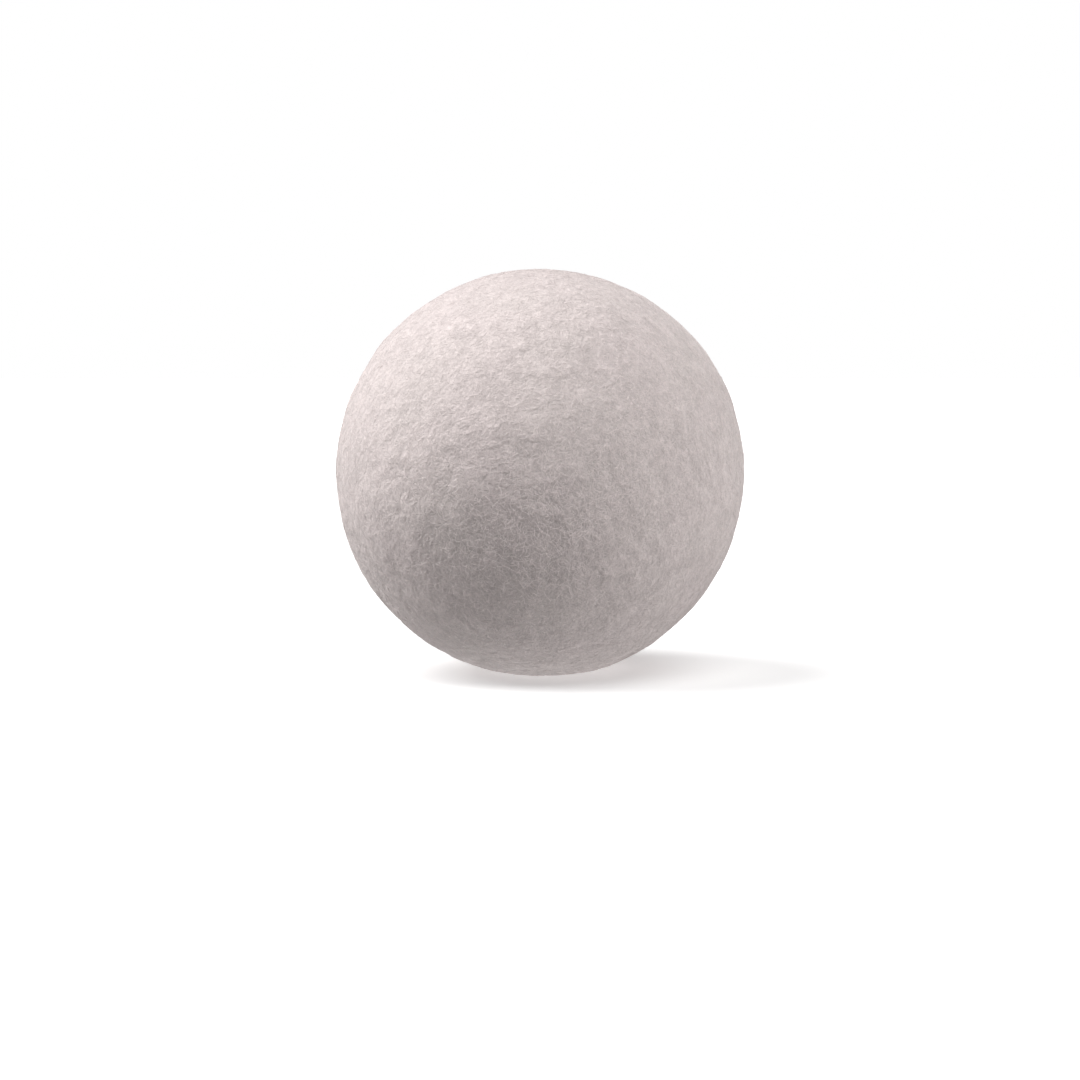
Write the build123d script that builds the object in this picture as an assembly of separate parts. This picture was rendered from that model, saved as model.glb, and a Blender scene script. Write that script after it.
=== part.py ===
from build123d import *

import os
from math import acos, ceil, cos, degrees, radians, sin, sqrt

# A wool dryer ball: a firm, round ball of felted wool, built up from its middle outwards.
# A strip of carded wool is rolled up tight and pressed round. More strips of wool batt are
# wound over it, one turn each, every one crosswise to the last, and a cover of fine wool is
# felted on over them. The outermost surface is a sphere that gives a little where it rests.
# Frame: the origin is the ball's centre, +Z is up, and the ball rests on its flat at -Z.
# All sizes are in millimetres.

BALL_DIAMETER = 70.0
REST_FLAT_DIAMETER = 10.0  # where the soft felt flattens under the ball's own weight
COVER_THICKNESS = 3.0
WRAP_THICKNESS = 2.5
WRAP_COUNT = 8
FELT_CLEARANCE = 0.05  # left between neighbours, which cling together in the real ball
STRIP_GAP = 0.1  # between faces of one strip that lie on each other
LAP_ANGLE = 40.0  # how far round a strip's two ends overlap
LAP_SECTIONS = 5
LAP_STEP = 137.5  # turns each lap away from the laps under it, so that they never stack
PINCH_RADIUS = 1.2  # the dimple left where a strip's long edges gather
CORE_TURNS = 4.85  # of the rolled strip, counted from the middle out to the core's outline

BALL_RADIUS = BALL_DIAMETER / 2
COVER_INNER = BALL_RADIUS - COVER_THICKNESS
CORE_RADIUS = COVER_INNER - WRAP_COUNT * WRAP_THICKNESS
REST_DROP = sqrt(BALL_RADIUS**2 - (REST_FLAT_DIAMETER / 2) ** 2)
# A wrap is made with its pinched ends on Z, then laid with them on X, on Y or left on Z.
WRAP_AXES = [Rot(0, 90, 0), Rot(90, 0, 0), Rot(0, 0, 0)]


def hollow_ball(inner, outer):
    """A round shell between two radii, less the clearance to whatever goes over it."""
    return Sphere(outer - FELT_CLEARANCE) - Sphere(inner)


def meridian(turn):
    """The plane through Z that stands at an angle round it, with its local Y along Z."""
    angle = radians(turn)
    return Plane(origin=(0, 0, 0), x_dir=(cos(angle), sin(angle), 0), z_dir=(sin(angle), -cos(angle), 0))


def lap_section(radius, turn):
    """A thin bow from one pinch to the other, which is where the lap lies at one angle round Z."""
    reach = degrees(acos(PINCH_RADIUS / 2 / radius))
    near = CenterArc((0, 0), radius, -reach, 2 * reach)
    far = CenterArc((0, 0), radius + STRIP_GAP, -reach, 2 * reach)
    ends = [Line(near @ 0, far @ 0), Line(near @ 1, far @ 1)]
    return meridian(turn) * make_face([near, far, *ends])


def lap_gap(inner, outer):
    """The slanting gap between a strip's lapped ends. It starts inside the strip and ends outside it."""
    start = inner - 2 * STRIP_GAP
    rise = outer + STRIP_GAP - start
    steps = [index / (LAP_SECTIONS - 1) for index in range(LAP_SECTIONS)]
    return loft([lap_section(start + rise * step, LAP_ANGLE * step) for step in steps])


def batt_wrap(number):
    """One strip of batt, wound once round the ball. Its ends lap, and its edges gather at two pinches."""
    inner = CORE_RADIUS + (number - 1) * WRAP_THICKNESS
    outer = inner + WRAP_THICKNESS
    strip = hollow_ball(inner, outer) - lap_gap(inner, outer) - Cylinder(PINCH_RADIUS, 3 * outer)
    laid = WRAP_AXES[(number - 1) % len(WRAP_AXES)]
    return laid * Rot(0, 0, number * LAP_STEP) * strip


def half_turn(number, pitch):
    """Half a turn of the rolled strip, seen on its end. Its centre is to one side of the middle, and the
    next half turn's to the other, so that each full turn steps out by one pitch."""
    side = 1 if number % 2 else -1
    inner = number * pitch / 2
    outer = inner + pitch - STRIP_GAP
    ring = Circle(outer) - Circle(inner) if inner > 0 else Circle(outer)
    half = Pos(0, -side * outer, 0) * Rectangle(2 * outer, 2 * outer)
    return Pos(side * pitch / 4, 0, 0) * (ring & half)


def core_roll():
    """A strip rolled up along Z round its folded start, then pressed into a ball, which thins the end of
    its last turn away."""
    radius = CORE_RADIUS - FELT_CLEARANCE
    pitch = radius / CORE_TURNS
    spiral = Pos(pitch / 4, 0, 0) * Circle(pitch / 2 - STRIP_GAP)
    for number in range(2 * ceil(CORE_TURNS)):
        spiral += half_turn(number, pitch)
    return extrude(spiral, amount=radius, both=True) & Rot(90, 0, 0) * Sphere(radius)


def felt_cover():
    """The fine outer wool, felted shut with no seam, and flat where the ball rests."""
    above_the_rest = Pos(0, 0, BALL_RADIUS - REST_DROP) * Box(*[BALL_DIAMETER] * 3)
    return (Sphere(BALL_RADIUS) & above_the_rest) - Sphere(COVER_INNER)


def sub_parts():
    """Every piece of the ball by its node's name, from the middle outwards."""
    parts = {"core_roll": core_roll()}
    for number in range(1, WRAP_COUNT + 1):
        parts[f"batt_wrap_{number}"] = batt_wrap(number)
    parts["felt_cover"] = felt_cover()
    return parts


os.makedirs("parts", exist_ok=True)
for node, shape in sub_parts().items():
    export_step(shape, f"parts/{node}.step")
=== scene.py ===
import math

import bmesh
import bpy
import numpy as np
from mathutils import Matrix, Vector

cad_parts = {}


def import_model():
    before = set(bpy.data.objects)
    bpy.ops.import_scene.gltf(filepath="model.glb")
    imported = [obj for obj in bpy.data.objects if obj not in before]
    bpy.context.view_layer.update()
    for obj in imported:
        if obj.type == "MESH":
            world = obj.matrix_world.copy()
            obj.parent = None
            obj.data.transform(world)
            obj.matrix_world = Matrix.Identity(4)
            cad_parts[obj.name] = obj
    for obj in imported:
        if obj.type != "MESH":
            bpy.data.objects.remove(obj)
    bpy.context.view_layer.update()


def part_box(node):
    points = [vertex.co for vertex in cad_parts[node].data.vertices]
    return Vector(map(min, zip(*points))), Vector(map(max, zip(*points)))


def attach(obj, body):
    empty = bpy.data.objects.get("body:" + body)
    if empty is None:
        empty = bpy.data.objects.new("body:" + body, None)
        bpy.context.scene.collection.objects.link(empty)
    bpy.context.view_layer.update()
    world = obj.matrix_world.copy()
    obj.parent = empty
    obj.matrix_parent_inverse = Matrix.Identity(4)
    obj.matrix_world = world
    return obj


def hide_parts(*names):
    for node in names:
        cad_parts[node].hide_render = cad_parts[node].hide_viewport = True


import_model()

# The looks of a felted wool dryer ball. Its skin is matted wool with a fine, curly nap, and under
# that are the layers it was wound from. Everything is in metres, and the ball's centre is at the
# origin, as in the frame.

MM = 0.001
BODY = "root"
COVER_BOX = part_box("felt_cover")
RADIUS = COVER_BOX[1].z
FLOOR_Z = COVER_BOX[0].z
FELT_CLEARANCE = 0.05 * MM  # left between each layer and the next one out, as in the frame

# The skin: how many squares each side of its grid has, and its lumps as size, height and seed.
SKIN_SQUARES = 112
LINING_SQUARES = 44
SKIN_LUMPS = [
    (24 * MM, 0.06 * MM, 11),
    (8 * MM, 0.045 * MM, 12),
    (3.4 * MM, 0.018 * MM, 13),
    (1.8 * MM, 0.01 * MM, 14),
]
SETTLE = 0.1 * MM  # how gently the skin turns into the flat that it rests on
WAVE_COUNT = 48  # plane waves added up to make one random surface
WAVE_SPREAD = (0.7, 1.4)  # how short and how long they are, for the bumps' size

# The nap's fibres: their crimp, which curls them, and two cuts of them, long and short. Bend and swing are
# in radians a metre, rings are the points along a fibre, and lift is how far its middle stands off the
# skin. Each row of NAP is a piece of its own, because one mesh of them all would be too large: its cut, its
# number of fibres, and how light they are for the wool's colour.
CRIMP = {"bend": 300.0, "wave": (2.0 * MM, 4.0 * MM), "swing": 700.0}
LONG_CUT = {"rings": 5, "length": (0.7 * MM, 3.2 * MM), "lift": (0.02 * MM, 0.12 * MM)}
SHORT_CUT = {"rings": 3, "length": (0.35 * MM, 1.1 * MM), "lift": (0.0, 0.10 * MM)}
# Most rows are lighter than the skin: partly the wool's own spread of shades, partly painted light that
# stands for the light caught by fibres proud of the skin.
NAP = [
    (LONG_CUT, 7600, 0.90),
    (LONG_CUT, 7600, 1.02),
    (LONG_CUT, 7600, 1.08),
    (LONG_CUT, 7600, 1.15),
    (SHORT_CUT, 13500, 0.82),
    (SHORT_CUT, 13500, 1.10),
    (SHORT_CUT, 13500, 1.20),
]
FIBRE_RADIUS = (0.018 * MM, 0.042 * MM)
FIBRE_SIDES = 3
FIBRE_FLATNESS = 0.5  # how thick a fibre is for its width
FIBRE_TIP = 0.25  # how thick its ends are for its middle
FLAT_CLEARANCE = 0.3 * MM  # no fibre is drawn this near to the floor
NAP_SEED = 100  # plus the piece's number

# The wraps: strips of batt wound round once, with lapped ends, and long edges gathered at two pinches.
WRAP_COUNT = 8
WRAP_RINGS = 150
WRAP_COLUMNS = 40
LAP_ANGLE = math.radians(40)
LAP_STEP = math.radians(137.5)
STRIP_GAP = 0.1 * MM
STRIP_EDGE = 0.1 * MM  # how thick the wool is where it thins away
PINCH_RADIUS = 1.2 * MM
PLEATS = 15
PLEAT_DEPTH = 0.7 * MM
PLEAT_GATHER = 4  # the higher, the closer the pleats keep to the pinches
BATT_LUMPS = [(6 * MM, 0.05 * MM, 21), (2.5 * MM, 0.03 * MM, 22)]
BATT_SINK = 1.5  # how far lumps lie below an even face on average, in their own heights
# A strip is made with its pinches on Z, and then laid with them on X, on Y or left on Z.
WRAP_LAYS = [Matrix.Rotation(math.pi / 2, 3, "Y"), Matrix.Rotation(math.pi / 2, 3, "X"), Matrix.Identity(3)]

# The core: a strip rolled up tight, and pressed into a ball that rounds its long edges away.
CORE_TURNS = 4.85
CORE_RINGS = 260
CORE_COLUMNS = 34
CORE_START = 0.04 * MM  # how far from the middle the roll's first fold lies
CORE_END = 0.985  # how much of the roll is drawn, before it thins away to nothing

WOOL = (0.671, 0.596, 0.584)
BATT_WOOL = (0.700, 0.655, 0.610)
COARSE_WOOL = (0.480, 0.420, 0.360)
WHITE = (1.0, 1.0, 1.0)

# How light each wool is for its colour. The wraps differ a little from one to the next.
# The skin is a little darker than most of the nap: partly painted shade, standing for the shade under the
# fibres that lie on it.
SKIN_TONE = 0.94
BATT_TONE = 0.97
BATT_TONE_SWING = 0.03
CLUMP_TONES = (0.86, 1.04)
# The gaps between a batt's strands are darkened with painted shade, as if in shadow.
GAP_SHADE_TONE = 0.6
GAP_SHADE_SHARE = 0.2  # how much of the gap's tone shows between strands
STRAY_TONE = 1.12

# The felt's patterns, by size, and how strongly they show on the skin and on the nap.
CLOUD_SIZE = 14 * MM
CLUMP_SIZE = 4.5 * MM
TUFT_SIZE = 1.8 * MM
CURL_SIZES = (2.2 * MM, 1.5 * MM)
GRAIN_SIZE = 0.55 * MM
WISP_CURL = 0.8 * MM
WISP_WIDTH = 0.3 * MM
WISP_LENGTH = 1.0 * MM
# Each pattern's colour darkens the felt where its relief is low, so the colour share is partly the wool's
# own mottle and partly painted shade in the pits between fibres.
FELT_SHARES = {  # how much each pattern shows as colour and as relief
    "clumps": (1.6, 1.7),
    "tufts": (1.8, 1.0),
    "curls": (0.4, 0.1),
    "grain": (2.8, 1.3),
    "wisps": (2.6, 0.5),
}
# How strongly the warm and cool clouds and the patterns' tones show: partly the felt's own mottle, partly
# painted shade in the pits where the relief is low.
SKIN_MOTTLE_AND_PIT_SHADE = 0.07
SKIN_RELIEF = 0.7
NAP_MOTTLE_AND_PIT_SHADE = 0.03
WARM_SHIFT = (0.12, 0.0, 0.05)  # how far the clouds go to a warmer and a cooler shade, for the mottle
COOL_SHIFT = (-0.05, 0.0, -0.08)

# The batt's strands: how thick they are in a wrap and in the core, and how deep their relief is.
BATT_STRAND = 0.15 * MM
CORE_STRAND = 0.22 * MM
BATT_RELIEF = 0.8
STRAY_RELIEF = 0.5  # how high a stray strand stands, for the others

# The values of a noise that are stretched to 0 to 1, for patches and for wisps, and a curl's width.
PATCH_RANGE = (0.3, 0.7)
WISP_RANGE = (0.5, 0.72)
CURL_WIDTH = 0.09

# The dull finish that all wool has.
RELIEF_HEIGHT = 0.12 * MM
FELT_ROUGHNESS = (0.86, 0.98)
BATT_ROUGHNESS = (0.84, 0.96)
WOOL_SHEEN = {
    "Specular IOR Level": 0.15,
    "Sheen Weight": 0.25,
    "Sheen Roughness": 0.5,
    "Sheen Tint": (1.0, 0.97, 0.95, 1.0),
}
# The sockets of a mix node that is set to colours.
MIX_FACTOR, MIX_FIRST, MIX_SECOND, MIX_RESULT = 0, 6, 7, 2


# ---------------------------------------------------------------- shapes

def unit(vectors):
    """The vectors at length one."""
    return vectors / np.linalg.norm(vectors, axis=-1, keepdims=True)


def waves(points, size, seed):
    """Smooth random values about zero at these points, whose bumps are about this size across."""
    rng = np.random.default_rng(seed)
    headings = unit(rng.normal(size=(WAVE_COUNT, 3)))
    lengths = size * rng.uniform(*WAVE_SPREAD, (WAVE_COUNT, 1))
    phases = rng.uniform(0, 2 * math.pi, WAVE_COUNT)
    turns = 2 * math.pi * points @ (headings / lengths).T + phases
    return np.cos(turns).sum(axis=-1) / math.sqrt(WAVE_COUNT / 2)


def skin_points(directions):
    """Where the felt's surface lies in each of these directions from the ball's centre."""
    even = RADIUS * directions
    lumps = sum(height * waves(even, size, seed) for size, height, seed in SKIN_LUMPS)
    points = even + lumps[..., None] * directions
    above = (points[..., 2] - FLOOR_Z) / SETTLE
    points[..., 2] = FLOOR_Z + SETTLE * np.logaddexp(0, above)
    return points


def read_points(mesh):
    """The mesh's vertices as an array."""
    flat = np.empty(3 * len(mesh.vertices))
    mesh.vertices.foreach_get("co", flat)
    return flat.reshape(-1, 3)


def write_points(mesh, points):
    """Moves the mesh's vertices to these points."""
    mesh.vertices.foreach_set("co", points.ravel())
    mesh.update()


def round_grid(name, squares):
    """A ball of radius one made of six grids of squares, which the tangents keep even in size."""
    mesh = bpy.data.meshes.new(name)
    cube = bmesh.new()
    bmesh.ops.create_cube(cube, size=2)
    bmesh.ops.subdivide_edges(cube, edges=cube.edges[:], cuts=squares - 1, use_grid_fill=True)
    cube.to_mesh(mesh)
    cube.free()
    write_points(mesh, unit(np.tan(read_points(mesh) * math.pi / 4)))
    return mesh


def mesh_piece(name, mesh, material):
    """A smooth shaded piece of the ball that rides with it and takes its finish from a slot."""
    mesh.shade_smooth()
    mesh.materials.append(material)
    piece = bpy.data.objects.new(name, mesh)
    bpy.context.scene.collection.objects.link(piece)
    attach(piece, BODY)
    return piece


def layer_radius(node):
    """How far a layer goes from the ball's middle."""
    return max(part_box(node)[1])


def felt_skin(material):
    """The cover: an uneven outer skin, flat where it rests, and a lining on the layers inside."""
    outside = round_grid("felt_skin", SKIN_SQUARES)
    write_points(outside, skin_points(read_points(outside)))
    lining = round_grid("felt_lining", LINING_SQUARES)
    inner_radius = layer_radius(f"batt_wrap_{WRAP_COUNT}") + FELT_CLEARANCE
    write_points(lining, inner_radius * read_points(lining))
    lining.flip_normals()
    joined = bmesh.new()
    joined.from_mesh(outside)
    joined.from_mesh(lining)
    joined.to_mesh(outside)
    joined.free()
    bpy.data.meshes.remove(lining)
    skin = mesh_piece("felt_skin", outside, material)
    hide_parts("felt_cover")


def fibre_lines(count, rings, length, rng):
    """Curly lines that wander over the unit ball: their points, and which way each one heads there."""
    place = unit(rng.normal(size=(count, 3)))
    heading = unit(np.cross(place, rng.normal(size=(count, 3))))
    lengths = rng.uniform(*length, (count, 1))
    bend = rng.normal(0, CRIMP["bend"], (count, 1))
    wave = rng.uniform(*CRIMP["wave"], (count, 1))
    phase = rng.uniform(0, 2 * math.pi, (count, 1))
    step = lengths / (rings - 1)
    places, headings = [place], [heading]
    for ring in range(1, rings):
        along = step * ring
        turn = step * (bend + CRIMP["swing"] * np.cos(2 * math.pi * along / wave + phase))
        heading = heading * np.cos(turn) + np.cross(place, heading) * np.sin(turn)
        moved = unit(place + heading * step / RADIUS)
        heading = unit(heading - moved * (heading * moved).sum(axis=1, keepdims=True))
        place = moved
        places.append(place)
        headings.append(heading)
    return np.stack(places, axis=1), np.stack(headings, axis=1)


def fibre_tubes(places, headings, lift, rng):
    """Closed, tapered tubes along the lines, with their tips sunk a little into the skin: an array of
    fibre, ring, side and coordinate."""
    count, rings = places.shape[:2]
    along = np.linspace(0, 1, rings)
    bow = np.sin(math.pi * along)
    heights = rng.uniform(*lift, (count, 1)) * bow - FIBRE_FLATNESS * FIBRE_RADIUS[0] * (1 - bow)
    centres = skin_points(places) + heights[..., None] * places
    across = np.cross(places, headings)
    thick = rng.uniform(*FIBRE_RADIUS, (count, 1)) * (FIBRE_TIP + (1 - FIBRE_TIP) * bow**0.5)
    sides = []
    for side in range(FIBRE_SIDES):
        angle = 2 * math.pi * side / FIBRE_SIDES + math.pi / 2
        outward = math.cos(angle) * across + FIBRE_FLATNESS * math.sin(angle) * places
        sides.append(centres + thick[..., None] * outward)
    tubes = np.stack(sides, axis=2)
    clear = tubes[..., 2].min(axis=(1, 2)) > FLOOR_Z + FLAT_CLEARANCE
    return tubes[clear]


def tube_faces(count, rings, sides):
    """The corner numbers of every tube's faces: squares along it, and a cap at each end."""
    ring = np.arange(rings - 1)[:, None]
    side = np.arange(sides)[None, :]
    after = (side + 1) % sides
    squares = np.stack(
        [ring * sides + side, ring * sides + after, (ring + 1) * sides + after, (ring + 1) * sides + side],
        axis=-1,
    ).reshape(-1, 4)
    caps = np.stack([np.arange(sides)[::-1], (rings - 1) * sides + np.arange(sides)])
    first = np.arange(count)[:, None, None] * rings * sides
    return (squares + first).reshape(-1, 4), (caps + first).reshape(-1, sides)


def tubes_mesh(name, tubes):
    """One mesh that holds every tube."""
    count, rings, sides = tubes.shape[:3]
    squares, caps = tube_faces(count, rings, sides)
    corners = np.concatenate([squares.ravel(), caps.ravel()])
    totals = np.concatenate([np.full(len(squares), 4), np.full(len(caps), sides)])
    mesh = bpy.data.meshes.new(name)
    mesh.vertices.add(count * rings * sides)
    mesh.vertices.foreach_set("co", tubes.ravel())
    mesh.loops.add(len(corners))
    mesh.loops.foreach_set("vertex_index", corners)
    mesh.polygons.add(len(totals))
    mesh.polygons.foreach_set("loop_start", np.cumsum(totals) - totals)
    mesh.update(calc_edges=True)
    mesh.validate()
    return mesh


def nap(number, cut, count, material):
    """A piece of the nap: fibres matted into the skin, or standing a little proud of it. They are so fine
    that light gets past them, so they cast no shadow and throw no light on the skin."""
    rng = np.random.default_rng(NAP_SEED + number)
    places, headings = fibre_lines(count, cut["rings"], cut["length"], rng)
    tubes = fibre_tubes(places, headings, cut["lift"], rng)
    name = f"nap_{number}"
    piece = mesh_piece(name, tubes_mesh(name, tubes), material)
    piece.visible_shadow = False
    piece.visible_diffuse = False


def polar(angle, radius, height):
    """Points at these angles round Z and distances from it, at these heights."""
    return np.stack(np.broadcast_arrays(radius * np.cos(angle), radius * np.sin(angle), height), axis=-1)


def strip_mesh(name, sections, comb):
    """A closed strip. Each section's points go out along one face and back along the other, and comb
    says where each point is along the strip, across it and through it, for the material to follow."""
    rings, sides = sections.shape[:2]
    squares, _ = tube_faces(1, rings, sides)
    near = np.arange(sides // 2 - 1)
    cap = np.stack([near, near + 1, sides - 2 - near, sides - 1 - near], axis=1)
    faces = np.concatenate([squares, cap[:, ::-1], cap + (rings - 1) * sides])
    mesh = bpy.data.meshes.new(name)
    mesh.from_pydata(sections.reshape(-1, 3).tolist(), [], faces.tolist())
    turned = bmesh.new()
    turned.from_mesh(mesh)
    bmesh.ops.recalc_face_normals(turned, faces=turned.faces)
    turned.to_mesh(mesh)
    turned.free()
    follow = mesh.attributes.new("comb", "FLOAT_VECTOR", "POINT")
    follow.data.foreach_set("vector", comb.ravel())
    return mesh


def batt_lumps(points):
    """How far below an even face the batt's uneven one lies at these points."""
    sunk = sum(height * (BATT_SINK - waves(points, size, seed)) for size, height, seed in BATT_LUMPS)
    return np.maximum(sunk, 0)


def wrap_sections(inner, outer):
    """The sections of one wrap between two radii, with its pinches on Z, and its comb."""
    angle = np.linspace(0, 2 * math.pi + LAP_ANGLE, WRAP_RINGS)[:, None]
    slant = (outer - inner - 2 * STRIP_EDGE - STRIP_GAP) / LAP_ANGLE
    top = np.where(angle < LAP_ANGLE, inner + STRIP_EDGE + slant * angle, outer)
    past = angle - 2 * math.pi
    bottom = np.where(past > 0, inner + STRIP_EDGE + STRIP_GAP + slant * past, inner)
    lean = np.linspace(-1, 1, WRAP_COLUMNS) * math.acos(PINCH_RADIUS / inner)
    across = polar(angle, np.cos(lean), np.sin(lean))
    gather = np.sin(lean) ** PLEAT_GATHER
    pleat = PLEAT_DEPTH * gather * (0.5 - 0.5 * np.cos(PLEATS * angle))
    room = (top - bottom) / (outer - inner)
    high = top - room * (pleat + batt_lumps(outer * across))
    low = np.broadcast_to(bottom, high.shape)
    sections = np.concatenate([high[..., None] * across, (low[..., None] * across)[:, ::-1]], axis=1)
    comb = np.stack(np.broadcast_arrays(outer * angle, outer * lean, high), axis=-1)
    return sections, np.concatenate([comb, comb[:, ::-1]], axis=1)


def batt_wrap(number, inner, material):
    """One wrap, laid crosswise to the wrap under it."""
    node = f"batt_wrap_{number}"
    sections, comb = wrap_sections(inner, layer_radius(node))
    laid = WRAP_LAYS[(number - 1) % len(WRAP_LAYS)] @ Matrix.Rotation(number * LAP_STEP, 3, "Z")
    sections = sections @ np.array(laid).T
    name = f"wool_wrap_{number}"
    wrap = mesh_piece(name, strip_mesh(name, sections, comb), material)
    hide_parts(node)


def core_roll(material):
    """The strip rolled up round Z, each turn a pitch further out than the last, inside the core's ball."""
    radius = layer_radius("core_roll")
    pitch = radius / CORE_TURNS
    angle = np.linspace(0, 2 * math.pi * CORE_TURNS * CORE_END, CORE_RINGS)[:, None]
    inside = CORE_START + (radius - CORE_START) * angle / (2 * math.pi * CORE_TURNS)
    half = np.sqrt(radius**2 - (inside + STRIP_EDGE) ** 2)
    rise = half * np.sin(np.linspace(-1, 1, CORE_COLUMNS) * math.pi / 2)
    thick = np.minimum(pitch - STRIP_GAP, np.sqrt(radius**2 - rise**2) - inside)
    outside = inside + thick - thick / pitch * batt_lumps(polar(angle, inside, rise))
    inward = np.broadcast_to(inside, outside.shape)
    sections = np.concatenate([polar(angle, outside, rise), polar(angle, inward, rise)[:, ::-1]], axis=1)
    comb = np.stack([inward * angle, rise, outside], axis=-1)
    comb = np.concatenate([comb, comb[:, ::-1]], axis=1)
    core = mesh_piece("wool_core", strip_mesh("wool_core", sections, comb), material)
    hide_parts("core_roll")


# ---------------------------------------------------------------- materials

def opaque(colour):
    """A colour in the form that a socket takes. Another node's output stays as it is."""
    if isinstance(colour, bpy.types.NodeSocket):
        return colour
    return (*colour, 1.0)


class Nodes:
    """A material's node tree, with short ways to add a node and to link it."""

    def __init__(self, name):
        self.material = bpy.data.materials.new(name)
        self.material.use_nodes = True
        self.tree = self.material.node_tree
        self.shader = self.tree.nodes["Principled BSDF"]
        self.place = self.add("ShaderNodeTexCoord").outputs["Object"]

    def add(self, kind, inputs=(), **settings):
        """A new node. Each input is a number, a colour, or another node's output to link."""
        node = self.tree.nodes.new(kind)
        for key, value in settings.items():
            setattr(node, key, value)
        for key, value in dict(inputs).items():
            if isinstance(value, bpy.types.NodeSocket):
                self.tree.links.new(value, node.inputs[key])
            else:
                node.inputs[key].default_value = value
        return node

    def noise(self, size, detail=2.0, distortion=0.0, offset=0.0):
        """Random values from 0 to 1 whose patches are about this size across. The offset moves them, so
        that no two patterns lie alike."""
        moved = self.add(
            "ShaderNodeVectorMath", {0: self.place, 1: (offset, offset, offset)}, operation="ADD"
        )
        texture = self.add(
            "ShaderNodeTexNoise",
            {"Vector": moved.outputs[0], "Scale": 1 / size, "Detail": detail, "Distortion": distortion},
        )
        return texture.outputs["Fac"]

    def patches(self, size, detail=2.0, distortion=0.0, offset=0.0):
        """The same, with more contrast."""
        return self.spread(self.noise(size, detail, distortion, offset), *PATCH_RANGE)

    def math(self, operation, first, second=0.0):
        """The result of one sum."""
        return self.add("ShaderNodeMath", {0: first, 1: second}, operation=operation).outputs[0]

    def spread(self, value, low, high, to_low=0.0, to_high=1.0):
        """The value's range low to high stretched to another, and held inside it."""
        inputs = {"Value": value, "From Min": low, "From Max": high, "To Min": to_low, "To Max": to_high}
        return self.add("ShaderNodeMapRange", inputs).outputs["Result"]

    def blend(self, factor, first, second, kind="MIX"):
        """Two colours mixed."""
        inputs = {MIX_FACTOR: factor, MIX_FIRST: opaque(first), MIX_SECOND: opaque(second)}
        node = self.add("ShaderNodeMix", inputs, data_type="RGBA", blend_type=kind)
        return node.outputs[MIX_RESULT]

    def warped(self, reach, size):
        """The place moved about by up to reach, which curls whatever is drawn with it."""
        texture = self.add("ShaderNodeTexNoise", {"Vector": self.place, "Scale": 1 / size, "Detail": 1.0})
        centred = self.add(
            "ShaderNodeVectorMath", {0: texture.outputs["Color"], 1: (0.5, 0.5, 0.5)}, operation="SUBTRACT"
        )
        moved = self.add(
            "ShaderNodeVectorMath", {0: centred.outputs[0], 1: (2 * reach,) * 3}, operation="MULTIPLY"
        )
        return self.add(
            "ShaderNodeVectorMath", {0: self.place, 1: moved.outputs[0]}, operation="ADD"
        ).outputs[0]

    def wisps(self, place, width, length, axis, offset):
        """Short, thin streaks along one axis, from 0 to 1."""
        scale = [1 / width] * 3
        scale[axis] = 1 / length
        stretched = self.add("ShaderNodeVectorMath", {0: place, 1: tuple(scale)}, operation="MULTIPLY")
        moved = self.add(
            "ShaderNodeVectorMath", {0: stretched.outputs[0], 1: (offset,) * 3}, operation="ADD"
        )
        texture = self.add(
            "ShaderNodeTexNoise", {"Vector": moved.outputs[0], "Scale": 1.0, "Detail": 1.0}
        )
        return self.spread(texture.outputs["Fac"], *WISP_RANGE)

    def curls(self, size, offset):
        """Thin lines that curl about, from 0 to 1."""
        value = self.noise(size, detail=1.0, distortion=0.9, offset=offset)
        away = self.math("ABSOLUTE", self.math("SUBTRACT", value, 0.5))
        return self.spread(away, 0.0, CURL_WIDTH, to_low=1.0, to_high=0.0)

    def strands(self, curl, width, length):
        """Wisps that lie along all three axes, curled by the warp."""
        place = self.warped(reach=0.9 * curl, size=1.5 * curl)
        every = self.wisps(place, width, length, axis=0, offset=3.1)
        for axis, offset in ((1, 7.7), (2, 12.3)):
            every = self.math("MAXIMUM", every, self.wisps(place, width, length, axis, offset))
        return every

    def wool(self, base, height, relief, roughness):
        """The finished material: this colour and relief, with the soft, dull sheen of wool."""
        bump = self.add("ShaderNodeBump", {"Strength": relief, "Distance": RELIEF_HEIGHT, "Height": height})
        for value, key in ((base, "Base Color"), (bump.outputs[0], "Normal"), (roughness, "Roughness")):
            self.tree.links.new(value, self.shader.inputs[key])
        for key, value in WOOL_SHEEN.items():
            self.shader.inputs[key].default_value = value
        return self.material


def shade(colour, amount):
    """The colour made lighter or darker."""
    return tuple(amount * part for part in colour)


def felt_patterns(nodes):
    """The patterns of matted wool by name, each from 0 to 1."""
    large, small = CURL_SIZES
    return {
        "clumps": nodes.patches(CLUMP_SIZE, detail=3.0, distortion=0.8, offset=0.31),
        "tufts": nodes.patches(TUFT_SIZE, detail=1.0, distortion=0.6, offset=0.83),
        "curls": nodes.math("MAXIMUM", nodes.curls(large, offset=0.19), nodes.curls(small, offset=0.43)),
        "grain": nodes.noise(GRAIN_SIZE, detail=1.0, distortion=0.4, offset=0.57),
        "wisps": nodes.strands(WISP_CURL, WISP_WIDTH, WISP_LENGTH),
    }


def tinted(colour, shift, amount):
    """The colour with each part moved by this much of its shift."""
    return tuple(part * (1 + move * amount) for part, move in zip(colour, shift))


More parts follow.
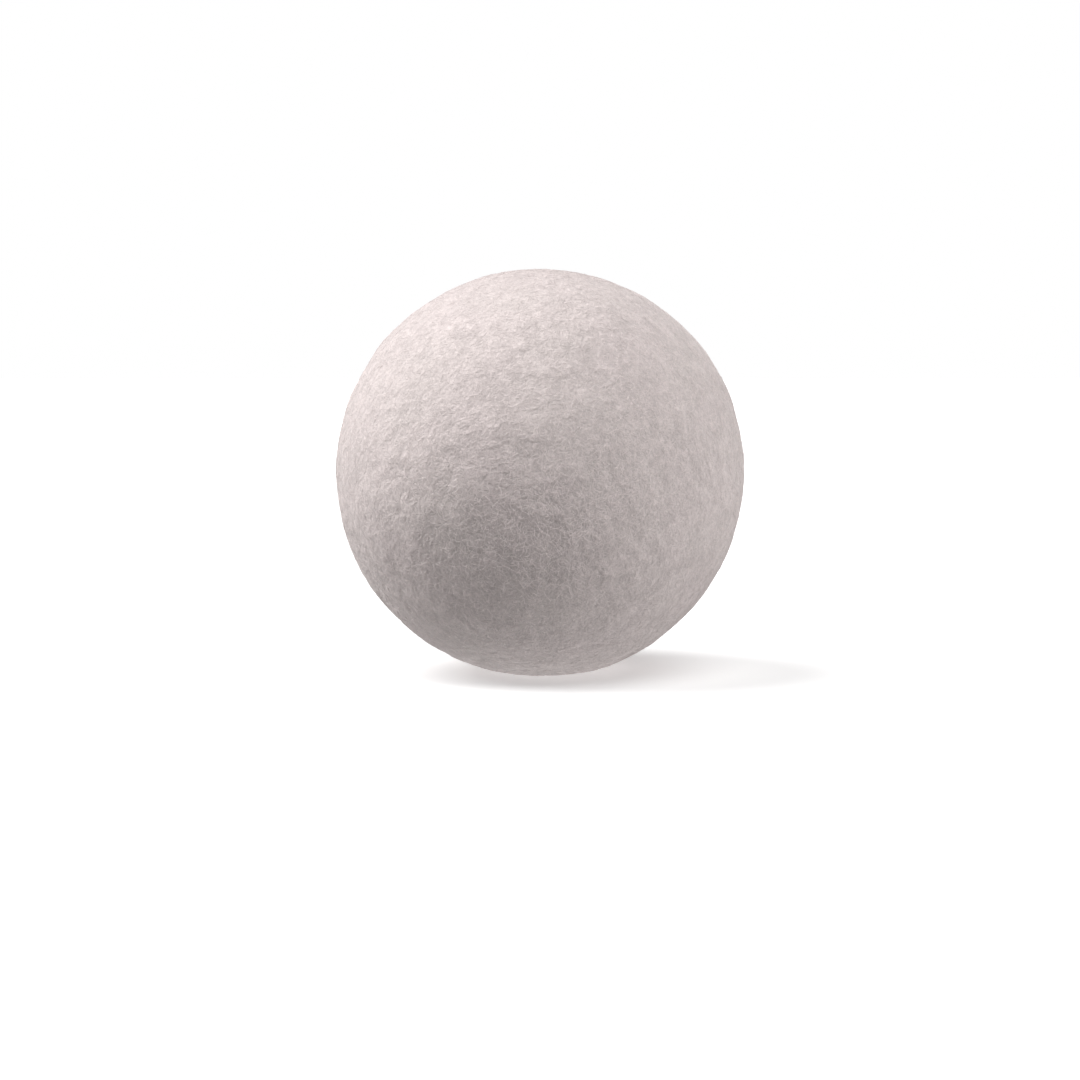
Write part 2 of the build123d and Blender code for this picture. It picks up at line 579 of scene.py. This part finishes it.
def felt_material(name, colour, mottle_and_pit_shade, relief):
    """Matted wool: clouds of a warmer and a cooler shade under clumps, tufts, curls, grain and wisps. Each
    pattern darkens the colour where it sinks the relief, partly the felt's own mottle and partly painted
    shade in the pits.
    """
    nodes = Nodes(name)
    clouds = nodes.patches(CLOUD_SIZE)
    base = nodes.blend(clouds, tinted(colour, WARM_SHIFT, mottle_and_pit_shade), tinted(colour, COOL_SHIFT, mottle_and_pit_shade))
    patterns = felt_patterns(nodes)
    height = 0.0
    for kind, (colour_share, relief_share) in FELT_SHARES.items():
        # Partly painted shade: where a pattern is low, the colour is darker as well as the relief lower.
        half = colour_share * mottle_and_pit_shade / 2
        tone = nodes.blend(patterns[kind], shade(WHITE, 1 - half), shade(WHITE, 1 + half))
        base = nodes.blend(1.0, base, tone, "MULTIPLY")
        height = nodes.math("ADD", nodes.math("MULTIPLY", patterns[kind], relief_share), height)
    roughness = nodes.spread(patterns["grain"], *PATCH_RANGE, *FELT_ROUGHNESS)
    return nodes.wool(base, height, relief, roughness)


def batt_material(name, colour, strand):
    """Carded wool: strands combed along the strip in loose slivers, with the gaps between them darkened by
    painted shade.
    """
    nodes = Nodes(name)
    nodes.place = nodes.add("ShaderNodeAttribute", attribute_name="comb").outputs["Vector"]
    place = nodes.warped(reach=2 * strand, size=16 * strand)
    slivers = nodes.wisps(place, width=9 * strand, length=70 * strand, axis=0, offset=1.7)
    fine = nodes.wisps(place, width=strand, length=16 * strand, axis=0, offset=4.1)
    strands = nodes.math("MAXIMUM", fine, slivers)
    crossed = nodes.warped(reach=5 * strand, size=9 * strand)
    stray = nodes.wisps(crossed, width=0.8 * strand, length=8 * strand, axis=1, offset=9.3)
    clumps = nodes.patches(40 * strand, distortion=0.4)
    dark, light = CLUMP_TONES
    base = nodes.blend(clumps, shade(colour, dark), shade(colour, light))
    # Painted shade: where the strands leave gaps, the colour is darkened toward the gap's shade, as if in
    # shadow.
    base = nodes.blend(strands, nodes.blend(GAP_SHADE_SHARE, base, shade(colour, GAP_SHADE_TONE)), base)
    base = nodes.blend(stray, base, shade(colour, STRAY_TONE))
    height = nodes.math("ADD", strands, nodes.math("MULTIPLY", stray, STRAY_RELIEF))
    return nodes.wool(base, height, BATT_RELIEF, nodes.spread(clumps, 0.0, 1.0, *BATT_ROUGHNESS))


# ---------------------------------------------------------------- stage, light and camera

def floor(reach, tone, glow):
    """A plain pale floor under the ball. It throws no light on the ball and doesn't stand in the way of
    the lights that are lower than it. It glows a little, which keeps the ball's shadow pale."""
    mesh = bpy.data.meshes.new("floor")
    corners = [(-reach, -reach, 0), (reach, -reach, 0), (reach, reach, 0), (-reach, reach, 0)]
    mesh.from_pydata(corners, [], [(0, 1, 2, 3)])
    plane = bpy.data.objects.new("floor", mesh)
    plane.location.z = FLOOR_Z
    bpy.context.scene.collection.objects.link(plane)
    nodes = Nodes("floor")
    nodes.shader.inputs["Base Color"].default_value = opaque(shade(WHITE, tone))
    nodes.shader.inputs["Roughness"].default_value = 1.0
    nodes.shader.inputs["Specular IOR Level"].default_value = 0.0
    nodes.shader.inputs["Emission Color"].default_value = opaque(WHITE)
    nodes.shader.inputs["Emission Strength"].default_value = glow
    mesh.materials.append(nodes.material)
    plane.visible_diffuse = False
    plane.visible_shadow = False


def world(strength):
    """Even light from all round, seen by the camera as plain white."""
    made = bpy.data.worlds.new("studio")
    made.use_nodes = True
    tree = made.node_tree
    background = tree.nodes["Background"]
    background.inputs["Color"].default_value = opaque(WHITE)
    seen = tree.nodes.new("ShaderNodeLightPath")
    mix = tree.nodes.new("ShaderNodeMapRange")
    mix.inputs["To Min"].default_value = strength
    mix.inputs["To Max"].default_value = 1.0
    tree.links.new(seen.outputs["Is Camera Ray"], mix.inputs["Value"])
    tree.links.new(mix.outputs["Result"], background.inputs["Strength"])
    bpy.context.scene.world = made


def toward(azimuth, elevation):
    """The direction from the ball to a place round it. Azimuth 0 is the front and 90 the right."""
    turn, rise = math.radians(azimuth), math.radians(elevation)
    return Vector((math.sin(turn) * math.cos(rise), -math.cos(turn) * math.cos(rise), math.sin(rise)))


def soft_sun(name, azimuth, elevation, strength, spread):
    """A large, distant soft light. Facing it, a white surface shines as bright as strength."""
    light = bpy.data.lights.new(name, "SUN")
    light.energy = math.pi * strength
    light.angle = math.radians(spread)
    lamp = bpy.data.objects.new(name, light)
    lamp.rotation_mode = "QUATERNION"
    lamp.rotation_quaternion = toward(azimuth, elevation).to_track_quat("Z", "Y")
    bpy.context.scene.collection.objects.link(lamp)


def camera(elevation, lens, sensor, distance, drop):
    """A long lens a little above the ball's middle. It aims below the middle, by drop."""
    data = bpy.data.cameras.new("camera")
    data.lens = lens
    data.sensor_width = sensor
    eye = bpy.data.objects.new("camera", data)
    back = toward(0, elevation)
    up = Vector((0, math.sin(math.radians(elevation)), math.cos(math.radians(elevation))))
    eye.location = back * distance - up * drop
    eye.rotation_mode = "QUATERNION"
    eye.rotation_quaternion = (-back).to_track_quat("-Z", "Y")
    bpy.context.scene.collection.objects.link(eye)
    bpy.context.scene.camera = eye


camera(elevation=5, lens=85, sensor=36, distance=12.57 * RADIUS, drop=0.33 * RADIUS)
floor(reach=60 * RADIUS, tone=0.85, glow=0.3)
world(strength=0.05)
soft_sun("top_left", azimuth=270, elevation=52, strength=1.06, spread=50)
soft_sun("top_right", azimuth=30, elevation=60, strength=0.62, spread=40)
soft_sun("right", azimuth=86, elevation=-30, strength=0.79, spread=40)
soft_sun("left", azimuth=260, elevation=-15, strength=0.28, spread=40)
soft_sun("low_left", azimuth=225, elevation=-30, strength=0.27, spread=60)
soft_sun("low_front", azimuth=310, elevation=-10, strength=0.15, spread=30)
soft_sun("back", azimuth=180, elevation=-5, strength=0.40, spread=40)
bpy.context.scene.view_settings.view_transform = "Standard"

# ---------------------------------------------------------------- the ball

core_roll(batt_material("rolled_wool", COARSE_WOOL, CORE_STRAND))
inner_radius = layer_radius("core_roll") + FELT_CLEARANCE
for number in range(1, WRAP_COUNT + 1):
    tone = BATT_TONE + BATT_TONE_SWING * math.cos(number * LAP_STEP)
    batt = batt_material(f"carded_wool_{number}", shade(BATT_WOOL, tone), BATT_STRAND)
    batt_wrap(number, inner_radius, batt)
    inner_radius = layer_radius(f"batt_wrap_{number}") + FELT_CLEARANCE

felt_skin(felt_material("felted_wool", shade(WOOL, SKIN_TONE), SKIN_MOTTLE_AND_PIT_SHADE, SKIN_RELIEF))
for number, (cut, count, tone) in enumerate(NAP, start=1):
    nap(number, cut, count, felt_material(f"nap_wool_{number}", shade(WOOL, tone), NAP_MOTTLE_AND_PIT_SHADE, relief=0.0))
